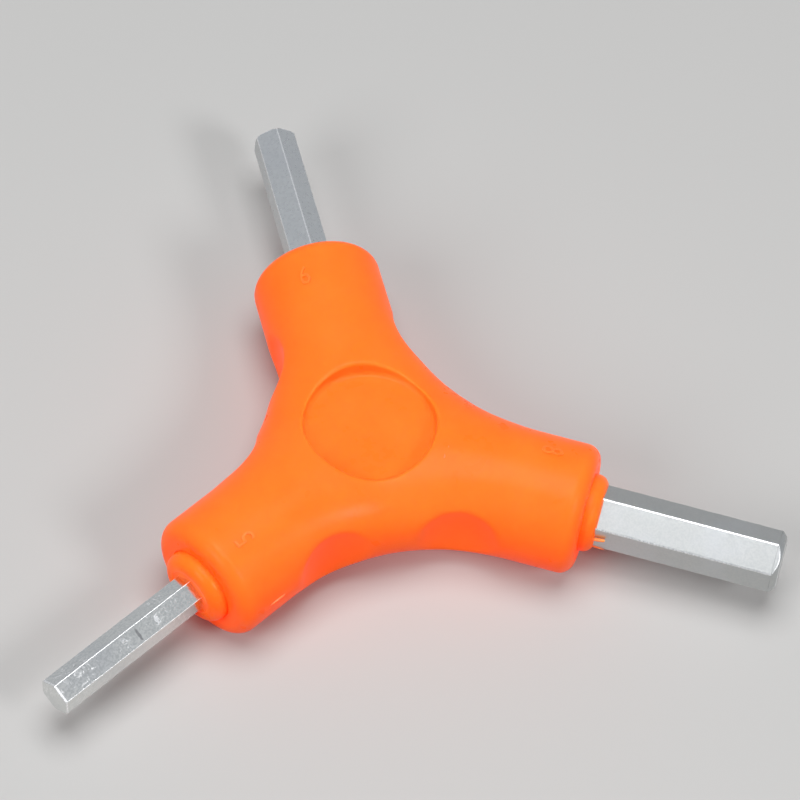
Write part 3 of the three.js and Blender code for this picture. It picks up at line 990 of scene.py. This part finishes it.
for flashName, (bit, slotName, *bead) in flashes.items():
    smallPart(flashName, mouldFlash, dict(zip(flashInputs, bead)), bit, flashPlastic, True)
print("mould flash: made")


# Camera, floor and lights

cameraSetup = {
    "azimuth": -18.453, "elevation": 55.241, "roll": 5.097, "lens": 194.664,
    "place": (-108.075, -336.65, 524.031),  # from the middle of the arms' level
}


def makeCamera():
    angles = [math.radians(cameraSetup[key]) for key in ("azimuth", "elevation", "roll")]
    azimuth, elevation, roll = angles
    back = Vector((math.sin(azimuth) * math.cos(elevation), -math.cos(azimuth) * math.cos(elevation),
                   math.sin(elevation)))
    right = Vector((math.cos(azimuth), math.sin(azimuth), 0))
    up = back.cross(right)
    turnedRight = right * math.cos(roll) + up * math.sin(roll)
    turnedUp = up * math.cos(roll) - right * math.sin(roll)
    camera = bpy.data.cameras.new("camera")
    camera.lens = cameraSetup["lens"]
    camera.clip_start = 0.01
    holder = newObject("camera", camera)
    place = (Vector(cameraSetup["place"]) + Vector((0, 0, levelZ))) * mm
    facing = Matrix((turnedRight, turnedUp, back)).transposed().to_4x4()
    holder.matrix_world = Matrix.Translation(place) @ facing
    bpy.context.scene.camera = holder


studio = {
    "floorSize": 3.0,
    # what the camera and glossy surfaces see, and what lights the object
    "floorShown": (0.58, 0.58, 0.575, 1), "floorBounce": (0.05, 0.05, 0.05, 1),
    "worldShown": (0.55, 0.565, 0.59, 1), "worldLight": (0.06, 0.06, 0.06, 1),
    "lampDistance": 0.9,
    # name: direction from the wrench, width, watts
    "lamps": {
        "overhead": ((0, 0, 1), 0.62, 5.35),
        "left": ((-0.712, -0.363, 0.602), 0.5, 2.9),
        "right": ((0.457, -0.629, 0.629), 0.24, 2.4),
    },
}


def shownMix(tree, litColour, shownColour):
    # The plain colour for what shows, and the dimmer one for the light that it gives the object
    path = addNode(tree, "ShaderNodeLightPath").outputs
    seen = addMath(tree, "MAXIMUM", path["Is Camera Ray"], path["Is Glossy Ray"])
    seen = addMath(tree, "MAXIMUM", seen, path["Is Transmission Ray"])
    return mixColour(tree, seen, litColour, shownColour)


def makeStudio():
    scene, size, low = bpy.context.scene, studio["floorSize"] / 2, gripLow.z * mm
    mesh = bpy.data.meshes.new("floor")
    mesh.from_pydata([(-size, -size, low), (size, -size, low), (size, size, low), (-size, size, low)], [],
                     [(0, 1, 2, 3)])
    floor = newObject("floor", mesh)
    material, tree, shader = newMaterial("pale floor")
    fillInputs(tree, shader, {"Base Color": shownMix(tree, studio["floorBounce"], studio["floorShown"]),
                              "Roughness": 0.9, "Specular IOR Level": 0.2})
    mesh.materials.append(material)
    for name, (direction, width, watts) in studio["lamps"].items():
        light = bpy.data.lights.new(name, "AREA")
        light.shape = "DISK"
        light.size = width
        light.energy = watts
        lamp = newObject(name, light)
        lamp.location = Vector(direction).normalized() * studio["lampDistance"]
        lamp.rotation_mode = "QUATERNION"
        lamp.rotation_quaternion = Vector(direction).to_track_quat("Z", "Y")
    scene.world = bpy.data.worlds.new("studio")
    scene.world.use_nodes = True
    tree = scene.world.node_tree
    fillInputs(tree, tree.nodes["Background"], {
        "Color": shownMix(tree, studio["worldLight"], studio["worldShown"])})
    scene.view_settings.view_transform = "Standard"


makeCamera()
makeStudio()
print("studio: set")
